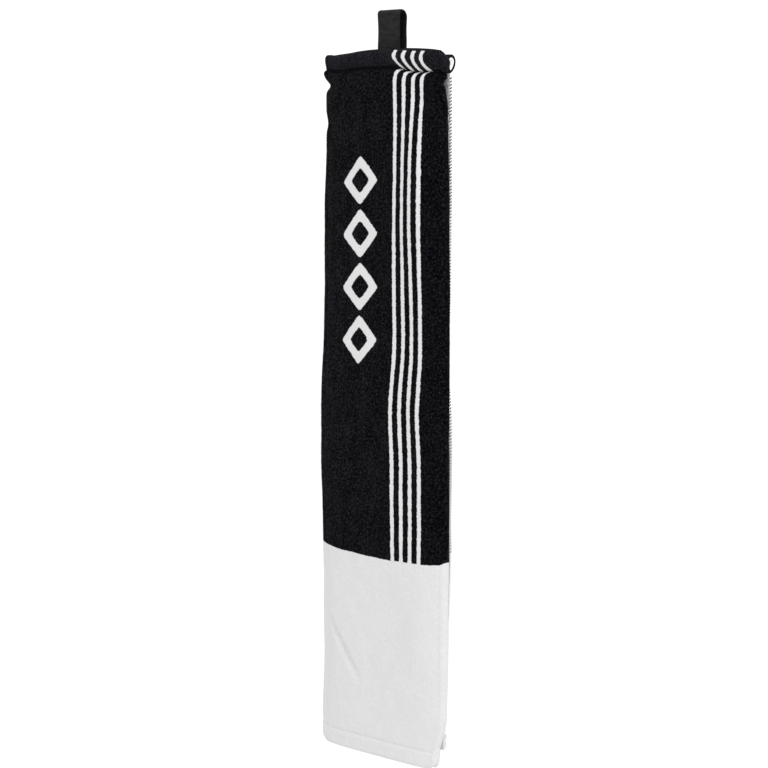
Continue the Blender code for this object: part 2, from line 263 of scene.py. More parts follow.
def side_moves():
    """Sideways moves of the cloth. Each wave is (distance down, how far) along a side."""
    left_wave = (
        (0, 1.2), (40, 1.6), (76, 2.2), (102, 0.6), (128, -0.3), (180, -0.4), (240, -1.0),
        (262, -2.0), (290, -4.2), (320, -5.2), (380, -4.7), (415, -3.4), (450, -2.4),
        (511, -1.7), (560, -2.0), (575, -3.0), (592, -3.4), (610, -2.4),
    )
    right_wave = (
        (0, 0.5), (60, -0.2), (90, -0.9), (125, -2.0), (200, -2.6), (270, -2.6), (305, -1.9),
        (360, -2.3), (400, -2.3), (440, -1.7), (500, -1.6), (570, -0.6), (610, 0.6),
    )
    free_wave = (
        (0, 0.0), (98, -0.2), (124, 0.2), (150, -0.6), (203, -1.2), (229, -1.9), (255, -3.0),
        (280, -2.6), (294, -1.4), (312, 0.0), (348, 0.6), (386, 0.0), (408, -0.5), (428, 0.2),
        (446, 0.6), (500, -1.4), (560, -3.6), (592, -5.4), (610, -5.2),
    )
    down = V[:, None]
    left_wide = curve_through(left_wave, down, 12)
    right_wide = curve_through(right_wave, down, 14)
    free_edge = curve_through(free_wave, down, 8)
    # the folds are pinched below the hem and stand out beside its seam
    left_notch = 5.2 * hump(down, 29.6, 3.6) - 3.2 * hump(down, 19.0, 4.5) + 2.0 * hump(down, 59, 6)
    left_notch += 0.5 * noise(down, down, 37.0, 37.0, 3) * smooth(30, 80, down)
    right_notch = 2.5 * hump(down, 25.0, 3.0) + 2.1 * hump(down, 29.0, 10.0)
    right_notch += 3.2 * hump(down, 0, 4.5)
    right_notch = right_notch - 2.0 * hump(down, 8.5, 4.5) - 2.2 * hump(down, 15.5, 4.5)
    right_notch += 0.35 * noise(down, down, 41.0, 41.0, 4) * smooth(30, 80, down)
    move = left_wide * (1 - ACROSS) * ON_LEFT_SIDE
    move += left_notch * NEAR_LEFT
    move -= right_wide * ACROSS * ON_RIGHT_SIDE
    move -= right_notch * NEAR_RIGHT
    # the foot's right corner is drawn in
    move -= 8.0 * smooth(566, 604, down) * NEAR_CORNER
    # behind each bend the cloth stays inside the hinge line, so that it opens clear of itself
    left_room, right_room = -3.6, 0.8
    move += np.maximum(0, left_room - 2 * (left_wide + left_notch)) * HIDDEN_LEFT
    move -= np.maximum(0, -right_wide - right_notch - right_room) * HIDDEN_RIGHT
    # the inner flap's free edge keeps clear of the dent in the left bend
    move += 4.5 * hump(down, 26, 10) * (1 - ACROSS) ** 3 * IN_INNER
    return move + free_edge * ACROSS**3 * IN_OUTER


def puff():
    """How far each layer's middle stands out towards its face."""
    hem_bow, cloth_bow, flap_bow = 3.0, 5.2, 7.0
    settle_length, flap_fade_length = 6.0, 120
    side = np.abs(X) / HALF_WIDTH
    below_crease = V[:, None] - CREASE_V
    round_bow, flat_bow = 1 - side**2, 1 - side**4.5
    settle = 1 - np.exp(-np.maximum(0, below_crease) / settle_length)
    centre = hem_bow * round_bow * (1 - settle) + (cloth_bow * flat_bow) * settle
    flap = flap_bow * round_bow * np.clip(1 - below_crease / flap_fade_length, 0, 1)
    out = np.where(IN_CENTRE, centre, 0.0)
    out = np.where(IN_INNER | IN_OUTER, flap, out)
    return out + relief()


def relief():
    """Soft hills and valleys of a washed towel that hangs."""
    u, v = np.meshgrid(S, V)
    x = X[None, :]
    below_hem = smooth(18, 60, v) * (1 - 0.6 * smooth(560, 600, v))
    # flat at the bends, where the pieces meet
    calm = smooth(0.0, 0.22, np.clip(1 - np.abs(x) / HALF_WIDTH, 0, 1))
    long_hills = 0.9 * noise(u, v, 26, 120, 11) + 0.5 * noise(u, v, 15, 60, 12)
    lumps = 0.22 * noise(u, v, 9, 13, 13)
    out = (long_hills + lumps) * below_hem * calm
    out += 0.35 * noise(u, v, 13, 30, 14) * (1 - smooth(14, 17, v)) * calm
    # an upright ridge by the right stripes, with a hollow above it and another below to its left
    ridge = 3.6 * hump(x, 37, 13) * hump(v, 128, 48) - 3.0 * hump(x, 40, 17) * hump(v, 36, 20)
    ridge -= 1.6 * hump(x, 24, 22) * hump(v, 245, 30)
    # a slanting crease low down at the left
    past = v - 518
    line_x = -42.1 + 0.72 * past - 0.0025 * past**2
    slant = -2.2 * hump(x, line_x, 3.3) * smooth(482, 500, v) * (1 - smooth(530, 556, v))
    return out + np.where(IN_CENTRE[None, :], (ridge + slant) * calm, 0.0)


def pile(seed):
    """Fine unevenness of the pile itself."""
    u, v = np.meshgrid(S, V)
    return 0.10 * noise(u, v, 2.1, 2.1, seed) + 0.07 * noise(u, v, 4.3, 5.0, seed + 1)


def hem_sizes():
    """How far the top hem's roll stands out on the face side and on the reverse."""
    bend_face, left_bend_back, right_bend_back = 2.2, 2.9, 2.2
    end_face, end_back, end_length = 5.6, 3.0, 14
    face = by_layer(3.6, 3.3, 5.2 - 2.6 * smooth(8, 50, X), 3.3, 3.3)
    face += (bend_face - face) * np.maximum(NEAR_LEFT, NEAR_RIGHT)
    face -= 1.5 * HIDDEN_RIGHT
    # the outer flap's open end is rolled fuller
    end = smooth(end_length, 0, OUTER_EDGE_X - PLAN[:, 0]) * IN_OUTER
    face += (end_face - face) * end
    back = by_layer(3.0 + end_back * end, 3.1, 3.0, 3.1, 3.1)
    back += (right_bend_back - back) * NEAR_RIGHT
    back += (left_bend_back - back) * NEAR_LEFT
    return face, back


def rounded(share):
    """0 to 1 as a quarter circle rises."""
    return np.sqrt(np.clip(1 - (1 - share) ** 2, 0, 1))


def top_hem_profile(face, back):
    """The two offsets with the top hem's roll and the groove at its seam put in."""
    widest, groove, seam = 0.34, -1.0, 1.9
    groove_length, seam_length = 1.5, 2.0
    face_roll, back_roll = hem_sizes()
    v = V[:, None]
    q = v / CREASE_V
    tip = (face_roll - back_roll) / 2
    rise = rounded(np.clip(q / widest, 0, 1))
    fall = np.clip((q - widest) / (1 - widest), 0, 1)
    face_fall = groove + (face_roll - groove) * (1 - fall**2.6)
    back_fall = -seam - (back_roll - seam) * (1 - fall**2)
    face_hem = np.where(q < widest, tip + (face_roll - tip) * rise, face_fall)
    back_hem = np.where(q < widest, tip - (back_roll + tip) * rise, back_fall)
    below = np.maximum(0, v - CREASE_V)
    face += (groove - HALF_CLOTH) * np.exp(-below / groove_length)
    back += (HALF_CLOTH - seam) * np.exp(-below / seam_length)
    return np.where(q < 1, face_hem, face), np.where(q < 1, back_hem, back)


def bottom_hem_profile(face, back):
    """The two offsets with a shallow seam groove, a thicker hem below it and its round edge."""
    hem_face, hem_back, stitch = 1.9, 2.3, 1.0
    seam_width, seam_back, step_length, round_length = 0.9, 0.4, 3, 3.4
    v = V[:, None]
    face -= (HALF_CLOTH - stitch) * hump(v, BOTTOM_SEAM_V, seam_width)
    back += seam_back * hump(v, BOTTOM_SEAM_V, seam_width)
    into_hem = smooth(BOTTOM_SEAM_V, BOTTOM_SEAM_V + step_length, v)
    face += (hem_face - HALF_CLOTH) * into_hem
    back -= (hem_back - HALF_CLOTH) * into_hem
    close = rounded(np.clip((TOWEL_LENGTH - v) / round_length, 0, 1))
    middle = (face + back) / 2
    return middle + (face - middle) * close, middle + (back - middle) * close


def profile():
    """Offsets of the face and of the reverse from the layer's middle, row by row."""
    face, back = bottom_hem_profile(*top_hem_profile(HALF_CLOTH, -HALF_CLOTH))
    # the selvedges are drawn a little thinner by their overcasting
    edge_width, thinner = 2.5, 0.3
    near_edge = np.maximum(smooth(edge_width, 0, S), smooth(edge_width, 0, END_S - S))
    between_hems = smooth(17, 22, V[:, None]) * (1 - smooth(590, 596, V[:, None]))
    thin = 1 - thinner * near_edge * between_hems
    return face * thin, back * thin


def build_surfaces():
    """The face and the reverse of the folded cloth, as rows of points down each column."""
    face_off, back_off = profile()
    low = puff()
    v = V[:, None]
    fine = smooth(0, 1.5, v) * (1 - smooth(608.5, 610, v))
    settled = 1 - 0.75 * hump(v, CREASE_V, 1.5)
    face_off = face_off + low + pile(21) * fine * settled
    back_off = back_off + low - pile(31) * fine * settled
    top, crease = top_line(), crease_depth()
    height = top - bottom_line()
    # the cloth between these two distances takes up the difference in height
    plain_from, plain_to = 60, 550
    stops = (0, CREASE_V, plain_from, plain_to, BOTTOM_SEAM_V, TOWEL_LENGTH)
    depth = np.empty((len(V), len(S)))
    for j in range(len(S)):
        spare = height[j] - TOWEL_LENGTH
        lower = (plain_to + spare, BOTTOM_SEAM_V + spare, height[j])
        depth[:, j] = np.interp(V, stops, (0, crease[j], plain_from, *lower))
    move = side_moves()
    # the right bend's reverse stays inside the hinge line
    most_out = 1.0
    back_move = move - np.maximum(0, move - most_out) * RIGHT_TURN
    surfaces = []
    for offset, sideways in ((face_off, move), (back_off, back_move)):
        x = PLAN[:, 0] + FACING[:, 0] * offset + sideways
        y = PLAN[:, 1] + FACING[:, 1] * offset
        surfaces.append(np.stack([x, y, top - depth], axis=-1))
    return surfaces


FACE, REVERSE = build_surfaces()
REVERSE[0], REVERSE[-1] = FACE[0], FACE[-1]


def twist_rows():
    """Sideways shift of the pattern: aslant down the hem's roll, and back again below."""
    at_seam, at_top, just_below = 7.0, 2.2, 1.4
    roll_from, top_length = 4.5, 6.5
    down_roll = np.clip((V - roll_from) / (CREASE_V - roll_from), 0, 1) ** 2
    below = np.maximum(0, V - CREASE_V)
    back_again = 0.5 * np.exp(-below / 1.0) + 0.5 * np.exp(-below / 5.5)
    twist = at_seam * np.where(V < CREASE_V, down_roll, back_again)
    twist += at_top * np.clip(1 - V / top_length, 0, 1)
    return twist + just_below * np.exp(-below / 2.0)


TWIST = twist_rows()


# ---- meshes
def make_object(name, points, faces, materials, indices=None, uvs=None, sharp=62, smooth_shade=True):
    """A mesh from points and pattern places in millimetres, put into the scene."""
    mesh = bpy.data.meshes.new(name)
    corners = [list(map(int, face)) for face in faces]
    mesh.from_pydata((np.asarray(points, float) * MM).tolist(), [], corners)
    for material in materials:
        mesh.materials.append(material)
    if indices is not None:
        mesh.polygons.foreach_set("material_index", np.asarray(indices, np.int32))
    if uvs is not None:
        layer = mesh.uv_layers.new(name="cloth")
        layer.data.foreach_set("uv", (np.asarray(uvs, float) * MM).astype(np.float32).ravel())
    if smooth_shade:
        mesh.shade_smooth()
        mesh.set_sharp_from_angle(angle=math.radians(sharp))
    mesh.update()
    thing = bpy.data.objects.new(name, mesh)
    bpy.context.scene.collection.objects.link(thing)
    return thing


FACE_SLOT, REVERSE_SLOT, HOLLOW_SLOT = 0, 1, 2
CREASE_ROW = int(np.argmin(np.abs(V - CREASE_V)))
SEAM_ROW = int(np.argmin(np.abs(V - BOTTOM_SEAM_V)))
# A hem's open end: its rows, the hollow's depth, the wall, its place in the pattern, its material
OPEN_ENDS = (
    # the top hem's hollow takes a darker copy of the terry, with painted shade
    (range(0, CREASE_ROW + 1), 11.0, 3.6, 300.0, HOLLOW_SLOT),
    (range(SEAM_ROW, len(V)), 2.0, 1.3, 620.0, FACE_SLOT),
)


def hem_end(points, ring, inward, depth, wall):
    """Faces that close a hem's open end, each with whether it is in the hollow or on the rim."""
    least_open, rim_levels = 0.12, 2
    steps_in = (
        (wall * 0.35, -0.35), (wall * 0.75, -0.1), (wall, 0.5),
        (wall * 1.15, depth * 0.5), (wall * 1.5, depth),
    )
    outline = np.array([points[i] for i in ring])
    centre = outline.mean(axis=0)
    centre[2] = (outline[:, 2].max() + outline[:, 2].min()) / 2
    rings = [list(ring)]
    made = []
    for step_in, back_by in steps_in:
        away = outline - centre
        length = np.linalg.norm(away, axis=1, keepdims=True)
        keep = np.clip(1 - step_in / np.maximum(length, 1e-6), least_open, 1)
        moved = centre + away * keep + np.array([inward * back_by, 0, 0])
        rings.append(list(range(len(points), len(points) + len(moved))))
        points.extend(moved.tolist())
    hub = len(points)
    points.append((centre + np.array([inward * depth * 1.05, 0, 0])).tolist())
    for level, (outer, inner) in enumerate(zip(rings, rings[1:])):
        for k in range(len(outer)):
            after = (k + 1) % len(outer)
            made.append(((outer[k], outer[after], inner[after], inner[k]), level >= rim_levels))
    last = rings[-1]
    for k in range(len(last)):
        made.append(((last[k], last[(k + 1) % len(last)], hub), True))
    return made


def cloth_points(first, last):
    """A stretch of cloth's points, and which point each place of its face and reverse is."""
    rows, cols = len(V), last - first + 1
    points = FACE[:, first : last + 1].reshape(-1, 3).tolist()
    face_at = np.arange(rows * cols).reshape(rows, cols)
    # both sides share the top edge's points and the bottom edge's
    reverse_at = np.empty((rows, cols), int)
    reverse_at[0], reverse_at[-1] = face_at[0], face_at[-1]
    reverse_at[1:-1] = len(points) + np.arange((rows - 2) * cols).reshape(rows - 2, cols)
    points += REVERSE[1:-1, first : last + 1].reshape(-1, 3).tolist()
    return points, face_at, reverse_at


def pattern_places(across):
    """Places in the woven pattern: of the face, and of the hems turned over behind."""
    on_face = np.empty((len(V), len(across), 2))
    on_face[..., 0] = across[None, :] - TWIST[:, None]
    on_face[..., 1] = V[:, None]
    on_hem = on_face.copy()
    on_hem[..., 1] = np.where(V < TOWEL_LENGTH / 2, -V, 2 * TOWEL_LENGTH - V)[:, None]
    return on_face, on_hem


def cloth_piece(name, first, last, materials, open_start=False, open_end=False):
    """One closed piece of the cloth between two columns."""
    points, face_at, reverse_at = cloth_points(first, last)
    across = S[first : last + 1] - CENTRE_S
    cols = len(across)
    on_face, on_hem = pattern_places(across)
    # every face, with its material and its corners' places in the pattern
    made = []
    for i in range(len(V) - 1):
        turned = i < CREASE_ROW or i >= SEAM_ROW
        slot, places = (FACE_SLOT, on_hem) if turned else (REVERSE_SLOT, on_face)
        for j in range(cols - 1):
            corners = ((i, j), (i + 1, j), (i + 1, j + 1), (i, j + 1))
            made.append(([face_at[c] for c in corners], FACE_SLOT, [on_face[c] for c in corners]))
            backs = corners[::-1]
            made.append(([reverse_at[c] for c in backs], slot, [places[c] for c in backs]))
    for j, beside, is_open in ((0, 1, open_start), (cols - 1, cols - 2, open_end)):
        order = 1 if j == 0 else -1
        low, high = 0, len(V) - 1
        if is_open:
            low, high = CREASE_ROW, SEAM_ROW
            edge_x, beside_x = (points[face_at[CREASE_ROW, k]][0] for k in (j, beside))
            inward = -1.0 if edge_x > beside_x else 1.0
            for end_rows, depth, wall, pattern_v, hollow in OPEN_ENDS:
                ring = [face_at[i, j] for i in end_rows]
                back = [reverse_at[i, j] for i in reversed(end_rows)]
                ring += [p for p in back if p not in (ring[0], ring[-1])]
                for corners, is_hollow in hem_end(points, ring[::order], inward, depth, wall):
                    places = [(across[j], pattern_v)] * len(corners)
                    made.append((corners, hollow if is_hollow else FACE_SLOT, places))
        for i in range(low, high):
            quad = [face_at[i, j], reverse_at[i, j], reverse_at[i + 1, j], face_at[i + 1, j]]
            made.append((quad[::order], REVERSE_SLOT, [(across[j], V[i])] * 4))
    # shared points leave faces with two equal corners: those become triangles
    faces, slots, uvs = [], [], []
    for corners, slot, places in made:
        keep = [k for k in range(len(corners)) if corners[k] not in corners[:k]]
        if len(keep) >= 3:
            faces.append([corners[k] for k in keep])
            slots.append(slot)
            uvs += [places[k] for k in keep]
    return make_object(name, points, faces, materials, slots, uvs)


# ---- node materials
class Nodes:
    """Short names for the shader nodes that the materials use."""

    def __init__(self, name):
        self.material = bpy.data.materials.new(name)
        self.material.use_nodes = True
        self.tree = self.material.node_tree
        self.shader = self.tree.nodes["Principled BSDF"]

    def link(self, value, socket):
        if hasattr(value, "is_output"):
            self.tree.links.new(value, socket)
        else:
            socket.default_value = value

    def make(self, kind, inputs=(), **settings):
        node = self.tree.nodes.new(kind)
        for key, value in settings.items():
            setattr(node, key, value)
        for key, value in dict(inputs).items():
            self.link(value, node.inputs[key])
        return node

    def math(self, operation, *values, clamp=False):
        node = self.make("ShaderNodeMath", operation=operation, use_clamp=clamp)
        for k, value in enumerate((values + (0.0, 0.0))[:3]):
            self.link(value, node.inputs[k])
        return node.outputs[0]

    def __getattr__(self, operation):
        """n.add(a, b), n.sine(a) and so on are maths nodes."""
        return lambda *values, **settings: self.math(operation.upper(), *values, **settings)

    def away(self, value, place):
        """How far a value is from a place, either way."""
        return self.absolute(self.subtract(value, place))

    def centred(self, value, size):
        """A noise between 0 and 1 made to swing about 0."""
        return self.multiply(self.subtract(value, 0.5), size)

    def uv(self):
        places = self.make("ShaderNodeUVMap", uv_map="cloth").outputs[0]
        self.places = self.make("ShaderNodeSeparateXYZ", {0: places}).outputs[:2]
        return self.places

    def scaled(self, across, down, z=0.0):
        u, v = self.places
        place = {0: self.multiply(u, across), 1: self.multiply(v, down), 2: z}
        return self.make("ShaderNodeCombineXYZ", place).outputs[0]

    def noise(self, vector, scale, detail, roughness):
        values = {"Vector": vector, "Scale": scale, "Detail": detail, "Roughness": roughness}
        return self.make("ShaderNodeTexNoise", values).outputs[0]

    def grain(self, across, down, z=0.0, detail=2.0, roughness=0.6):
        """A noise with this many cells to the metre."""
        return self.noise(self.scaled(across, down, z), 1.0, detail, roughness)

    def ramp(self, value, low, high, to_low=0.0, to_high=1.0, kind="SMOOTHSTEP"):
        values = {"Value": value, "From Min": low, "From Max": high}
        values.update({"To Min": to_low, "To Max": to_high})
        return self.make("ShaderNodeMapRange", values, interpolation_type=kind).outputs[0]

    def mix(self, share, first, second):
        """A colour between two; the mixing node takes its colours at inputs 6 and 7."""
        node = self.make("ShaderNodeMix", data_type="RGBA")
        self.link(share, node.inputs[0])
        for place, colour in ((6, first), (7, second)):
            self.link((*colour, 1.0) if isinstance(colour, tuple) else colour, node.inputs[place])
        return node.outputs[2]

    def bump(self, height, distance, strength):
        values = {"Height": height, "Distance": distance, "Strength": strength}
        return self.make("ShaderNodeBump", values).outputs[0]

    def finish(self, colour, roughness, normal=None, **constants):
        self.link(colour, self.shader.inputs["Base Color"])
        self.link(roughness, self.shader.inputs["Roughness"])
        if normal is not None:
            self.link(normal, self.shader.inputs["Normal"])
        for key, value in constants.items():
            self.shader.inputs[key.replace("_", " ")].default_value = value
        return self.material


# The pattern woven into the face, in metres across and down the cloth
STRIPE_FIRST, STRIPE_PITCH, STRIPE_COUNT, STRIPE_HALF = 0.0780, 0.0091, 4, 0.0018
STRIPE_TOP = 0.0012
# Where the stripes wander, as the place down the cloth, how far about it, and by how much
STRIPE_DRIFTS = ((0.050, 0.048, 0.0015), (0.105, 0.062, 0.0011), (0.308, 0.050, 0.0017))
DIAMOND_ACROSS, DIAMOND_TOP, DIAMOND_PITCH, DIAMOND_COUNT = 0.0405, 0.0880, 0.0458, 4
DIAMOND_HALF_WIDTH, DIAMOND_HALF_HEIGHT, DIAMOND_STROKE = 0.0158, 0.0172, 0.0034
DIAMOND_CORNER = 0.0016
FOOT_V, FOOT_SLOPE, FOOT_DIP = BORDER_V + 1.3, 0.0009, -0.0036

# Colours of the pile: dark, with painted light on the top hem's roll, lint, white, and with painted
# shade in the hem's groove
DEEP_DARK, DARK = (0.0, 0.0, 0.0004), (0.0125, 0.0128, 0.0160)
PAINTED_LIGHT_HEM_LOW, PAINTED_LIGHT_HEM_HIGH = (0.0055, 0.0057, 0.0076), (0.0185, 0.0190, 0.0235)
LINT = (0.0290, 0.0295, 0.0335)
DEEP_WHITE, WHITE, TURNED_UP_PAINTED_LIGHT = (0.569, 0.569, 0.574), (0.617, 0.617, 0.622), (0.76, 0.76, 0.765)
GROOVE_PAINTED_SHADE_DARK, GROOVE_PAINTED_SHADE_WHITE = (0.0, 0.0, 0.0), (0.30, 0.30, 0.30)


def stripes(n, u, v):
    """Distance from the nearest stripe, negative inside it."""
    drifts = [n.ramp(n.away(v, place), 0.0, about, by, 0.0) for place, about, by in STRIPE_DRIFTS]
    high, middle, low = drifts
    straight = n.add(n.subtract(u, n.add(high, middle)), low)
    from_first = n.subtract(straight, STRIPE_FIRST - STRIPE_PITCH / 2)
    in_pitch = n.subtract(n.wrap(from_first, STRIPE_PITCH, 0.0), STRIPE_PITCH / 2)
    stripe = n.subtract(n.absolute(in_pitch), STRIPE_HALF)
    span = STRIPE_PITCH * STRIPE_COUNT
    band = n.subtract(n.away(from_first, span / 2), span / 2)
    stripe = n.maximum(stripe, band)
    return n.maximum(stripe, n.subtract(STRIPE_TOP, v))


def diamonds(n, u, v):
    """Distance from the nearest diamond's outline, negative inside the stroke."""
    from_middle = n.subtract(u, DIAMOND_ACROSS)
    from_top = n.subtract(v, DIAMOND_TOP)
    in_cell = n.subtract(n.wrap(from_top, DIAMOND_PITCH, 0.0), DIAMOND_PITCH / 2)

    def soft_abs(value):
        return n.sqrt(n.multiply_add(value, value, DIAMOND_CORNER * DIAMOND_CORNER))

    wide, tall = DIAMOND_HALF_WIDTH, DIAMOND_HALF_HEIGHT
    side = math.hypot(wide, tall)
    reach_across = n.multiply(soft_abs(from_middle), tall / side)
    reach = n.add(reach_across, n.multiply(soft_abs(in_cell), wide / side))
    diamond = n.subtract(n.away(reach, wide * tall / side), DIAMOND_STROKE)
    length = DIAMOND_PITCH * DIAMOND_COUNT
    column = n.subtract(n.away(from_top, length / 2), length / 2)
    return n.maximum(diamond, column)


def foot(n, u, v):
    """Distance above the white foot, whose edge slopes and dips a little at its middle."""
    across = n.ramp(u, 0.0, 2 * HALF_WIDTH * MM, -1.0, 1.0, "LINEAR")
    slope = n.multiply_add(across, FOOT_SLOPE, FOOT_V * MM)
    border = n.multiply_add(n.multiply(across, across), FOOT_DIP, slope)
    return n.subtract(border, v)


def velour():
    """The face's short pile, dark with the white pattern woven in."""
    n = Nodes("velour_face")
    u, v = n.uv()
    fuzz = n.grain(900, 620)
    wander = n.grain(60, 240, roughness=0.5)
    jitter = n.add(n.centred(fuzz, 0.0016), n.centred(wander, 0.0014))
    stripe, diamond, above_foot = stripes(n, u, v), diamonds(n, u, v), foot(n, u, v)
    nearest = n.minimum(n.minimum(stripe, diamond), above_foot)
    edge = 0.00035
    white = n.ramp(n.add(nearest, jitter), edge, -edge)
    # pile: brushed patches, fine tufts and streaks
    patches = n.grain(95, 38, 3.0, detail=3.0)
    tufts = n.grain(560, 430, 7.0, roughness=0.7)
    streaks = n.grain(420, 90, 11.0)
    uneven = n.add(n.centred(patches, 1.1), n.add(n.centred(tufts, 3.4), n.centred(streaks, 1.0)))
    shade = n.add(uneven, 0.22, clamp=True)
    # painted shade darkens the dark pile towards the right, and painted light lightens it over the
    # top hem's roll
    on_hem = n.ramp(v, CREASE_V * MM, (CREASE_V - 2) * MM)
    black = n.mix(shade, DEEP_DARK, DARK)
    painted_shade_to_right = n.ramp(u, 0.030, 0.120)
    black = n.mix(n.multiply(painted_shade_to_right, 0.38), black, DEEP_DARK)
    # painted light: the pile over the top hem's roll is lighter, as where it faces up to the light
    hem_painted_light = n.mix(shade, PAINTED_LIGHT_HEM_LOW, PAINTED_LIGHT_HEM_HIGH)
    black = n.mix(n.multiply(on_hem, 0.8), black, hem_painted_light)
    lint = n.ramp(n.grain(620, 520, 17.0, detail=1.0, roughness=0.5), 0.56, 0.74)
    black = n.mix(n.multiply(lint, 0.5), black, LINT)
    pale = n.mix(shade, DEEP_WHITE, WHITE)
    # painted light brightens the part of the bottom hem turned up behind, which the layers around it
    # shade
    turned_up = n.ramp(v, (TOWEL_LENGTH + 0.5) * MM, (TOWEL_LENGTH + 3) * MM)
    pale = n.mix(turned_up, pale, TURNED_UP_PAINTED_LIGHT)
    colour = n.mix(white, black, pale)
    # painted shade darkens the pile and the stripes along the top hem's groove
    from_groove = n.away(v, (CREASE_V + 0.3) * MM)
    groove_painted_shade = n.ramp(from_groove, 0.0004, 0.0019, 0.88, 0.0)
    colour = n.mix(groove_painted_shade, colour, n.mix(white, GROOVE_PAINTED_SHADE_DARK, GROOVE_PAINTED_SHADE_WHITE))
    tuft_size = n.multiply_add(white, -0.35, 0.7)
    height = n.add(n.multiply(tufts, tuft_size), n.multiply(patches, 0.6))
    height = n.add(height, n.multiply(white, 0.25))
    normal = n.bump(height, 0.0006, 0.55)
    shine = {"Sheen_Weight": 0.02, "Sheen_Roughness": 0.4, "Specular_IOR_Level": 0.04}
    return n.finish(colour, 0.95, normal, **shine)


def terry_loops(name, dark, light):
    """The reverse's looped pile, with painted light at the outer flap's edge, where the bend beside
    it shades the reverse.
    """
    selvedge_from, selvedge_to, edge_painted_light_white = 6.0, 1.0, (0.87, 0.87, 0.875)
    n = Nodes(name)
    u, v = n.uv()
    cell_values = {"Vector": n.scaled(560, 430), "Scale": 1.0, "Randomness": 0.75}
    loops = n.make("ShaderNodeTexVoronoi", cell_values).outputs["Distance"]
    patches = n.grain(120, 60, 5.0, detail=3.0)
    uneven = n.multiply_add(patches, 0.5, 0.75)
    shade = n.multiply_add(loops, -0.7, uneven, clamp=True)
    colour = n.mix(shade, dark, light)
    # painted light: the reverse is brightened near the outer flap's free edge
    selvedge = n.ramp(u, (selvedge_from - CENTRE_S) * MM, (selvedge_to - CENTRE_S) * MM)
    colour = n.mix(selvedge, colour, edge_painted_light_white)
    height = n.multiply_add(loops, -1.0, n.multiply(patches, 0.5))
    normal = n.bump(height, 0.0011, 0.8)
    return n.finish(colour, 0.95, normal, Sheen_Weight=0.12, Specular_IOR_Level=0.12)


def thread(name, dark, light):
    n = Nodes(name)
    u, v = n.uv()
    ply_values = {"Vector": n.scaled(1, 1), "Scale": 900.0, "Distortion": 1.0}
    ply = n.make("ShaderNodeTexWave", ply_values, bands_direction="DIAGONAL").outputs[1]
    fibre = n.grain(1500, 1500)
    colour = n.mix(n.multiply(n.add(ply, fibre), 0.5), dark, light)
    normal = n.bump(ply, 0.0001, 0.7)
    return n.finish(colour, 0.7, normal, Sheen_Weight=0.02, Specular_IOR_Level=0.12)


WEB_WIDTH, WEB_HALF, WEB_MIDDLE_X = 25.0, 0.65, 5.1
# The webbing's inner side is laid out this far along u from its outer side, so that the material can
# paint shade on it
INSIDE_U = 100.0


def webbing():
    """Ribbed webbing, with painted shade on its inner side and painted light on that side near one
    edge.
    """
    rib_pitch, warp_pitch = 0.0011, 0.0007
    n = Nodes("ribbed_webbing")
    u, v = n.uv()
    rib = n.sine(n.multiply(v, 2 * math.pi / rib_pitch))
    warp = n.sine(n.multiply(u, 2 * math.pi / warp_pitch))
    weave = n.add(n.multiply(rib, 0.65), n.multiply(n.multiply(rib, warp), 0.35))
    fibre = n.grain(700, 1600)
    worn = n.grain(130, 210, 2.0)
    raised = n.multiply_add(weave, 0.3, fibre)
    shade = n.add(raised, n.multiply_add(worn, 2.0, -1.1), clamp=True)
    outside = n.mix(shade, (0.0015, 0.0015, 0.0018), (0.0165, 0.0165, 0.0170))
    # painted shade: the inner side is darker, and painted light lifts it again near its right edge
    inside = n.mix(shade, (0.0006, 0.0006, 0.0007), (0.0060, 0.0060, 0.0063))
    painted_light_to_edge = n.ramp(u, (INSIDE_U + 7.0) * MM, (INSIDE_U + 11.5) * MM)
    inside = n.mix(painted_light_to_edge, inside, outside)
    colour = n.mix(n.ramp(u, 0.4 * INSIDE_U * MM, 0.6 * INSIDE_U * MM), outside, inside)
    normal = n.bump(weave, 0.00018, 1.0)
    return n.finish(colour, 0.62, normal, Sheen_Weight=0.02, Specular_IOR_Level=0.15)


def satin():
    yarn_pitch = 0.0005
    n = Nodes("label_satin")
    u, v = n.uv()
    across = n.sine(n.multiply(u, 2 * math.pi / yarn_pitch))
    fibre = n.grain(1400, 300)
    colour = n.mix(fibre, (0.60, 0.60, 0.59), (0.74, 0.74, 0.73))
    normal = n.bump(n.multiply_add(across, 0.5, fibre), 0.00006, 0.6)
    return n.finish(colour, 0.38, normal, Specular_IOR_Level=0.45)


VELOUR = velour()
TERRY = terry_loops("terry_reverse", (0.60, 0.60, 0.62), (0.80, 0.80, 0.81))
# a darker copy of the terry, with painted shade, for the hollow in the top hem's open end
HOLLOW_PAINTED_SHADE_TERRY = terry_loops("terry_hollow_painted_shade", (0.30, 0.30, 0.31), (0.50, 0.50, 0.51))
DARK_THREAD = thread("dark_thread", (0.002, 0.002, 0.003), (0.010, 0.010, 0.012))
WHITE_THREAD = thread("white_thread", (0.58, 0.58, 0.58), (0.78, 0.78, 0.78))
WEBBING, SATIN = webbing(), satin()
CLOTH = [VELOUR, TERRY, HOLLOW_PAINTED_SHADE_TERRY]


# ---- cloth pieces
OUTER_LAST, LEFT_LAST, CENTRE_LAST, RIGHT_LAST = SPLITS
LAST = len(S) - 1
cloth_outer = cloth_piece("cloth_outer_flap", 0, OUTER_LAST, CLOTH, open_start=True)
cloth_left = cloth_piece("cloth_left_fold", OUTER_LAST, LEFT_LAST, CLOTH)
cloth_centre = cloth_piece("cloth_centre", LEFT_LAST, CENTRE_LAST, CLOTH)
cloth_right = cloth_piece("cloth_right_fold", CENTRE_LAST, RIGHT_LAST, CLOTH)
cloth_inner = cloth_piece("cloth_inner_flap", RIGHT_LAST, LAST, CLOTH, open_end=True)

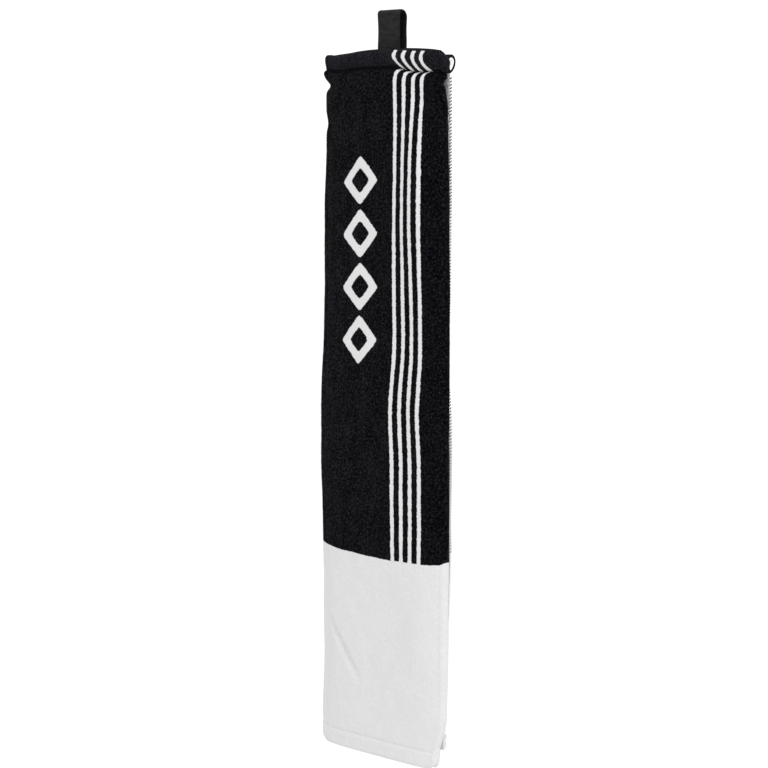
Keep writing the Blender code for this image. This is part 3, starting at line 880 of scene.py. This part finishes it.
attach(cloth_outer, "outer_flap")
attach(cloth_centre, "centre")
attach(cloth_inner, "inner_flap")
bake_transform(cloth_left)
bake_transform(cloth_right)
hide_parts("outer_flap_panel", "outer_flap_top_hem", "outer_flap_bottom_hem")
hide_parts("left_fold")
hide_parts("centre_panel", "centre_top_hem", "centre_bottom_hem")
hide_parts("right_fold")
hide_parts("inner_flap_panel", "inner_flap_top_hem", "inner_flap_bottom_hem")


# ---- thread
THREAD_R, OVERCAST_R, TACK_R, LABEL_THREAD_R = 0.3, 0.42, 0.26, 0.22
STITCH_LENGTH, STITCH_GAP, STITCH_DIP, BITE_PITCH = 2.6, 0.9, 0.35, 2.7
OVERCAST_FROM, OVERCAST_TO = 19.5, 592
# One overcasting bite: share of the way through the cloth, in from the edge, down, and lift
BITE = (
    (0, 2.6, 0.0, 0.05), (0, 1.6, 0.3, 0.15), (0, 0.6, 0.6, 0.1), (0.12, 0, 0.8, 0.0),
    (0.35, 0, 1.05, 0.26), (0.65, 0, 1.4, 0.32), (0.95, 0, 1.75, 0.26), (1, 0.9, 2.05, 0.1),
)


def tube(path, radius, sides):
    """Points and faces of a thin round thread along a path, narrower at its ends."""
    end_size = 0.55
    # a direction that no thread runs in
    aslant = np.array([0.31, 0.52, 0.79])
    path = np.asarray(path, float)
    along = unit(np.gradient(path, axis=0))
    side = unit(np.cross(along, aslant))
    other = np.cross(along, side)
    points, count = [], len(path)
    for i in range(count):
        size = radius * (end_size if i in (0, count - 1) else 1.0)
        for k in range(sides):
            turn = 2 * math.pi * k / sides
            points.append(path[i] + size * (math.cos(turn) * side[i] + math.sin(turn) * other[i]))
    faces = wall_faces(count, sides)
    faces.append(tuple(range(sides))[::-1])
    faces.append(tuple((count - 1) * sides + k for k in range(sides)))
    return points, faces


def cloth_at(surface, s, v):
    """A point of the face or reverse surface at a flat distance and a distance down."""
    place_s = np.interp(s, S, np.arange(len(S)))
    place_v = np.interp(v, V, np.arange(len(V)))
    j, i = int(min(place_s, len(S) - 2)), int(min(place_v, len(V) - 2))
    part_s, part_v = place_s - j, place_v - i
    upper = surface[i, j] * (1 - part_s) + surface[i, j + 1] * part_s
    lower = surface[i + 1, j] * (1 - part_s) + surface[i + 1, j + 1] * part_s
    return upper * (1 - part_v) + lower * part_v


def facing_at(s):
    return np.array([np.interp(s, S, FACING[:, 0]), np.interp(s, S, FACING[:, 1]), 0.0])


def threads_object(name, paths, radius, materials, pick=None, sides=6):
    """Threads along several paths, as one object. Each path picks its material."""
    points, faces, slots, uvs = [], [], [], []
    for k, path in enumerate(paths):
        tube_points, tube_faces = tube(path, radius, sides)
        base = len(points)
        points += tube_points
        for face in tube_faces:
            faces.append(tuple(base + corner for corner in face))
            slots.append(pick[k] if pick else 0)
            for corner in face:
                step, around = divmod(corner, sides)
                uvs.append((step * 0.6 + k * 3.1, around * 2 * radius / sides))
    return make_object(name, points, faces, materials, slots, uvs)


def seam_paths(s_low, s_high, v, lift):
    """Short stitches along a seam, lying on the face and dipping in at both ends."""
    paths, at = [], s_low
    while at + STITCH_LENGTH <= s_high:
        path = []
        for share in (k / 5 for k in range(6)):
            s = at + STITCH_LENGTH * share
            to_end = abs(2 * share - 1) ** 3
            high = lift * (1 - to_end) - STITCH_DIP * to_end
            path.append(cloth_at(FACE, s, v) + facing_at(s) * high)
        paths.append(path)
        at += STITCH_LENGTH + STITCH_GAP
    return paths


def selvedge_paths(at_start):
    """Overcasting on a free edge, one slanting bite of thread after another."""
    paths, pick = [], []
    edge, into = (0.0, 1.0) if at_start else (END_S, -1.0)
    v = OVERCAST_FROM
    while v < OVERCAST_TO:
        path = []
        for through, inset, down, lift in BITE:
            s = edge + into * inset
            near, far = cloth_at(FACE, s, v + down), cloth_at(REVERSE, s, v + down)
            out = facing_at(s) * (1 - 2 * through) * lift
            if inset == 0:
                out = np.array([lift if at_start else -lift, 0, 0])
            path.append(near + (far - near) * through + out)
        paths.append(path)
        pick.append(0 if v < BORDER_V else 1)
        v += BITE_PITCH
    return paths, pick


for layer, body, low, high in (
    ("outer_flap", "outer_flap", 2.0, LEFT_BEND_S - 0.4),
    ("centre", "centre", CENTRE_S + 0.8, RIGHT_BEND_S - 0.4),
    ("inner_flap", "inner_flap", INNER_S + 0.8, END_S - 2.0),
):
    for seam, v, lift, material, slot_name in (
        ("top", CREASE_V + 0.25, 0.05, DARK_THREAD, "dark_thread"),
        ("bottom", BOTTOM_SEAM_V, 0.12, WHITE_THREAD, "white_thread"),
    ):
        name = f"{layer}_{seam}_hem_stitches"
        piece = threads_object(name, seam_paths(low, high, v, lift), THREAD_R, [material])
        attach(piece, body)
        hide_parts(f"{layer}_{seam}_hem_stitch")

for layer, at_start in (("outer_flap", True), ("inner_flap", False)):
    paths, pick = selvedge_paths(at_start)
    both = [DARK_THREAD, WHITE_THREAD]
    piece = threads_object(f"{layer}_overcasting", paths, OVERCAST_R, both, pick, 5)
    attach(piece, layer)
    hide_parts(f"{layer}_selvedge")


# ---- webbing loop
FRONT_LEG_Y, BACK_LEG_Y = -4.6, 4.6
LOOP_END_Z, NECK_Z = -33.7, -25.0
TAIL_END_Z = -48.5
BACK_TAIL_Y = FRONT_LEG_Y + 1.6
# The thick part of the webbing's section reaches this share of its half width
FULL_SHARE, RIB_PITCH, STRAP_STEP = 0.9, 1.1, 0.275


def back_leg_y(z):
    share = min(1.0, max(0.0, (NECK_Z - z) / (NECK_Z - LOOP_END_Z)))
    return BACK_LEG_Y - share**2


def even(path, step):
    """The path again with points a step apart, and how far along each one is."""
    path = np.asarray(path, float)
    run = np.concatenate([[0], np.cumsum(np.linalg.norm(np.diff(path, axis=0), axis=1))])
    at = np.linspace(0, run[-1], int(run[-1] / step) + 1)
    return np.stack([np.interp(at, run, path[:, 0]), np.interp(at, run, path[:, 1])], axis=1), at


def loop_line():
    """The loop's path of (y, z) points: up in front, over the top and down behind."""
    top, near, far_y, far_z = WEB_HALF, 3.0, 6.1, 7.0
    turns = np.linspace(0, math.pi / 2, 12)
    path = [(FRONT_LEG_Y, z) for z in np.linspace(LOOP_END_Z, top - near, 12)[:-1]]
    path += [(FRONT_LEG_Y + near * (1 - math.cos(t)), top - near * (1 - math.sin(t))) for t in turns]
    path += [(BACK_LEG_Y - far_y * (1 - math.sin(t)), top - far_z * (1 - math.cos(t))) for t in turns]
    path += [(back_leg_y(z), z) for z in np.linspace(top - far_z, LOOP_END_Z, 24)[1:]]
    return path


def back_tail_line():
    """The back tail's path: from the loop's end forwards to the front tail, then down."""
    steps, fall = 16, 8.85
    start_y = back_leg_y(LOOP_END_Z)
    path = []
    for share in (k / steps for k in range(steps + 1)):
        ease = math.sin(math.pi / 2 * share)
        path.append((start_y + (BACK_TAIL_Y - start_y) * ease, TOP_Z + 0.25 - fall * share))
    return path + [(BACK_TAIL_Y, TAIL_END_Z)]


def waist(z):
    """The loop is drawn in a little half way down and spread a little at its top."""
    drawn_in = 0.045 * math.exp(-(((z + 17) / 10) ** 2))
    return 1 - drawn_in + 0.02 * math.exp(-(((z + 2) / 5) ** 2))


def strap(name, path, is_loop=False):
    """Ribbed webbing along a path of (y, z) points, with a rounded section."""
    line, run = even(path, STRAP_STEP)
    along = unit(np.gradient(line, axis=0))
    side = np.stack([along[:, 1], -along[:, 0]], axis=1)
    middle = np.linspace(-FULL_SHARE, FULL_SHARE, 19)
    shares = np.concatenate([[-1, -0.985, -0.95], middle, [0.95, 0.985, 1]])
    ring = [(share, 1) for share in shares] + [(share, -1) for share in shares[::-1]]
    points, uvs_at = [], []
    for (y, z), (side_y, side_z), at in zip(line, side, run):
        rib = math.cos(2 * math.pi * at / RIB_PITCH)
        drawn = waist(z) if is_loop else 1.0
        for share, face in ring:
            edge = max(0.0, (abs(share) - FULL_SHARE) / 0.1)
            thick = WEB_HALF * (1 - 0.8 * edge**2) * (1 + 0.16 * rib * (1 - edge))
            half_width = WEB_WIDTH / 2 * drawn + 0.12 * rib * edge
            out = face * thick
            points.append((WEB_MIDDLE_X + share * half_width, y + out * side_y, z + out * side_z))
            uvs_at.append((share * WEB_WIDTH / 2 + (INSIDE_U if face > 0 else 0), at))
    count, size = len(line), len(ring)
    faces = wall_faces(count, size)
    for base, order in ((0, -1), ((count - 1) * size, 1)):
        for k in range(size // 2 - 1):
            quad = (base + k, base + k + 1, base + size - 2 - k, base + size - 1 - k)
            faces.append(quad[::order])
    uvs = [uvs_at[corner] for face in faces for corner in face]
    return make_object(name, points, faces, [WEBBING], None, uvs, sharp=70)


loop = strap("webbing_loop", loop_line(), is_loop=True)
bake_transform(loop)
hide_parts("hanging_loop")
front_line = [(FRONT_LEG_Y, LOOP_END_Z - 0.05), (FRONT_LEG_Y, TAIL_END_Z)]
front_tail = strap("webbing_front_tail", front_line)
back_tail = strap("webbing_back_tail", back_tail_line())
for piece, node in ((front_tail, "loop_front_tail"), (back_tail, "loop_back_tail")):
    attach(piece, "centre")
    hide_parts(node)


def bar_tack():
    """A close zigzag of thread over the tails' ends."""
    left, pitch, turns, low, high = WEB_MIDDLE_X - 10.5, 0.35, 61, 1.0, 3.0
    y = BACK_TAIL_Y + WEB_HALF + 0.45
    zigzag = [(left + pitch * k, y, TAIL_END_Z + (low if k % 2 else high)) for k in range(turns)]
    return threads_object("tails_bar_tack", [zigzag], TACK_R, [DARK_THREAD])


tack = bar_tack()
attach(tack, "centre")
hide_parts("loop_bar_tack")

# ---- care label
LABEL_LEFT, LABEL_TOP, LABEL_WIDTH, LABEL_HEIGHT = -53.8, -529.0, 30.0, 40.0
LABEL_XS = np.linspace(LABEL_LEFT, LABEL_LEFT + LABEL_WIDTH, 16)
LABEL_ZS = np.linspace(LABEL_TOP, LABEL_TOP - LABEL_HEIGHT, 21)


def label_point(x, z, side):
    """A point of the label, which hangs from the inner flap's reverse and curls away from it."""
    clear, curl_out, wave, thick = 0.25, 0.5, 0.12, 0.3
    down = (LABEL_TOP - z) / LABEL_HEIGHT
    s = INNER_S + HALF_WIDTH - x
    v = np.interp(z, REVERSE[::-1, np.argmin(np.abs(S - s)), 2], V[::-1])
    curl = clear + curl_out * down**2 + wave * math.sin(x * 0.55) * down
    return (x, cloth_at(REVERSE, s, v)[1] - curl - thick * side, z)


def care_label():
    """The blank label and the stitches along its top."""
    points = [label_point(x, z, side) for side in (0, 1) for z in LABEL_ZS for x in LABEL_XS]
    rows, cols = len(LABEL_ZS), len(LABEL_XS)
    other_side = rows * cols
    faces = []
    for i in range(rows - 1):
        for j in range(cols - 1):
            p, q = i * cols + j, (i + 1) * cols + j
            faces.append((p, p + 1, q + 1, q))
            faces.append(tuple(other_side + corner for corner in (p, q, q + 1, p + 1)))
    rim = list(range(cols)) + [i * cols + cols - 1 for i in range(1, rows)]
    rim += [(rows - 1) * cols + j for j in range(cols - 2, -1, -1)]
    rim += [i * cols for i in range(rows - 2, 0, -1)]
    for here, after in zip(rim, rim[1:] + rim[:1]):
        faces.append((here, other_side + here, other_side + after, after))
    uvs = [(points[corner][0], points[corner][2]) for face in faces for corner in face]
    cloth = make_object("blank_care_label", points, faces, [SATIN], None, uvs, sharp=50)

    first, length, pitch, end_gap, below_top, dip = 1.5, 2.2, 3.0, 1, 3.0, 0.25
    stitch_row = []
    x = LABEL_LEFT + first
    while x + length < LABEL_LEFT + LABEL_WIDTH - end_gap:
        top_y = points[other_side + cols + int(np.argmin(np.abs(LABEL_XS - x)))][1]
        path = []
        for share in np.linspace(0, 1, 6):
            to_end = abs(2 * share - 1) ** 3
            y = top_y - dip * (1 - to_end) + dip * to_end
            path.append((x + length * share, y, LABEL_TOP - below_top))
        stitch_row.append(path)
        x += pitch
    sewing = threads_object("care_label_stitches", stitch_row, LABEL_THREAD_R, [WHITE_THREAD])
    return cloth, sewing


label, label_thread = care_label()
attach(label, "inner_flap")
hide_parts("care_label")
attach(label_thread, "inner_flap")
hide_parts("care_label_stitch")


# ---- floor, light, camera
def plain_floor():
    n = Nodes("studio_floor")
    texture = n.make("ShaderNodeTexCoord")
    grain = n.noise(texture.outputs["Object"], 3.0, 3.0, 0.5)
    colour = n.mix(grain, (0.88, 0.88, 0.88), (0.91, 0.91, 0.91))
    return n.finish(colour, 0.9, Specular_IOR_Level=0.1)


FLOOR_Z, FLOOR_HALF = -900.0, 90000.0
corners = [(x * FLOOR_HALF, y * FLOOR_HALF, FLOOR_Z) for x, y in ((-1, -1), (1, -1), (1, 1), (-1, 1))]
floor = make_object("floor", corners, [(0, 1, 2, 3)], [plain_floor()], smooth_shade=False)

SKY_STRENGTH = 1.12
scene = bpy.context.scene
scene.view_settings.view_transform = "Standard"
world = bpy.data.worlds.new("studio")
scene.world = world
world.use_nodes = True
background = world.node_tree.nodes["Background"]
background.inputs[0].default_value = (1.0, 1.0, 1.0, 1.0)
background.inputs[1].default_value = SKY_STRENGTH


def area_light(name, place, target, size, power):
    """A square lamp at a place, turned to a target; both in metres."""
    data = bpy.data.lights.new(name, "AREA")
    data.shape = "SQUARE"
    data.size = size
    data.energy = power
    light = bpy.data.objects.new(name, data)
    light.location = place
    light.rotation_euler = (Vector(target) - Vector(place)).to_track_quat("-Z", "Y").to_euler()
    scene.collection.objects.link(light)


area_light("soft_key", (2.4, -0.6, 0.9), (0, 0, -0.32), 1.4, 22)
area_light("soft_top", (0.2, -0.9, 2.0), (0, 0, -0.2), 1.2, 14)

# The camera looks down a little, from the right; metres and degrees, with the lens in millimetres
AZIMUTH, PITCH, DISTANCE, LENS = 40.5, 4.15, 2.2, 119.3
AIM_SIDE, AIM_Z, SENSOR, FARTHEST = -0.0033, -0.3194, 36.0, 200.0
azimuth, pitch = math.radians(AZIMUTH), math.radians(PITCH)
level = math.cos(pitch)
forward = Vector((-math.sin(azimuth) * level, math.cos(azimuth) * level, -math.sin(pitch)))
aim = Vector((AIM_SIDE * math.cos(azimuth), AIM_SIDE * math.sin(azimuth), AIM_Z))
camera_data = bpy.data.cameras.new("camera")
camera_data.lens = LENS
camera_data.sensor_width = SENSOR
camera_data.clip_end = FARTHEST
camera = bpy.data.objects.new("camera", camera_data)
camera.location = aim - forward * DISTANCE
camera.rotation_euler = forward.to_track_quat("-Z", "Y").to_euler()
scene.collection.objects.link(camera)
scene.camera = camera
